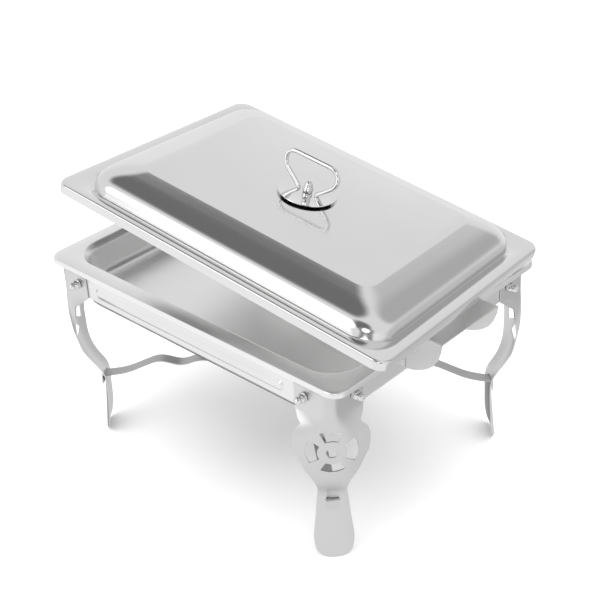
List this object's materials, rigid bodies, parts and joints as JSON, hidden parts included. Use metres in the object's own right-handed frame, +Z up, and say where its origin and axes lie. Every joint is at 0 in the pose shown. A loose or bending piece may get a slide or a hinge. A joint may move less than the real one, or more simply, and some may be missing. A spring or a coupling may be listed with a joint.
{
  "type": "chafing dish",
  "caption": "Rectangular stainless chafing dish on cut-out sheet-metal legs, with water pan, food pan and a raised lid with a wire handle; keeps food warm over a burner.",
  "frame": {"origin": "the point of the table top midway between the four legs", "axes": "X along the long side of the pans, Y along the short side, Z up"},
  "size_m": [0.381, 0.2785, 0.2836],
  "materials": {
    "brushed_stainless": "fine brushed",
    "satin_stainless": "satin",
    "polished_stainless": "polished",
    "chrome_plate": "mirror"
  },
  "bodies": {
    "stand": {"leg_front_left": "satin_stainless", "leg_front_right": "satin_stainless", "leg_back_left": "satin_stainless", "leg_back_right": "satin_stainless", "long_rail_front": "satin_stainless", "long_rail_back": "satin_stainless", "short_rail_left": "satin_stainless", "short_rail_right": "satin_stainless", "end_handle_left": "satin_stainless", "end_handle_right": "satin_stainless", "brace_lower": "satin_stainless", "brace_upper": "satin_stainless", "cap_nut_front_left_long": "chrome_plate", "cap_nut_front_left_short": "chrome_plate", "cap_nut_back_left_long": "chrome_plate", "cap_nut_back_left_short": "chrome_plate", "cap_nut_front_right_long": "chrome_plate", "cap_nut_front_right_short": "chrome_plate", "cap_nut_back_right_long": "chrome_plate", "cap_nut_back_right_short": "chrome_plate", "screw_front_left_long": "chrome_plate", "screw_front_left_short": "chrome_plate", "screw_back_left_long": "chrome_plate", "screw_back_left_short": "chrome_plate", "screw_front_right_long": "chrome_plate", "screw_front_right_short": "chrome_plate", "screw_back_right_long": "chrome_plate", "screw_back_right_short": "chrome_plate"},
    "water_pan": {"water_pan": "brushed_stainless"},
    "food_pan": {"food_pan": "polished_stainless"},
    "lid": {"lid": "brushed_stainless", "lid_handle_disc": "polished_stainless", "lid_handle": "chrome_plate", "lid_handle_cap_nut": "chrome_plate", "lid_handle_screw": "chrome_plate"}
  },
  "joints": [
    {"name": "water_pan_lift", "type": "slide", "parent": "stand", "child": "water_pan", "axis": [0, 0, 1], "range_m": [0, 0.06]},
    {"name": "food_pan_lift", "type": "slide", "parent": "water_pan", "child": "food_pan", "axis": [0, 0, 1], "range_m": [0, 0.05]},
    {"name": "lid_tilt", "type": "hinge", "parent": "food_pan", "child": "lid", "pos_m": [0.19846, 0.12897, 0.12131], "axis": [-0.3736, 0.7986, 0.4719], "range_deg": [-13.93, 25]}
  ]
}
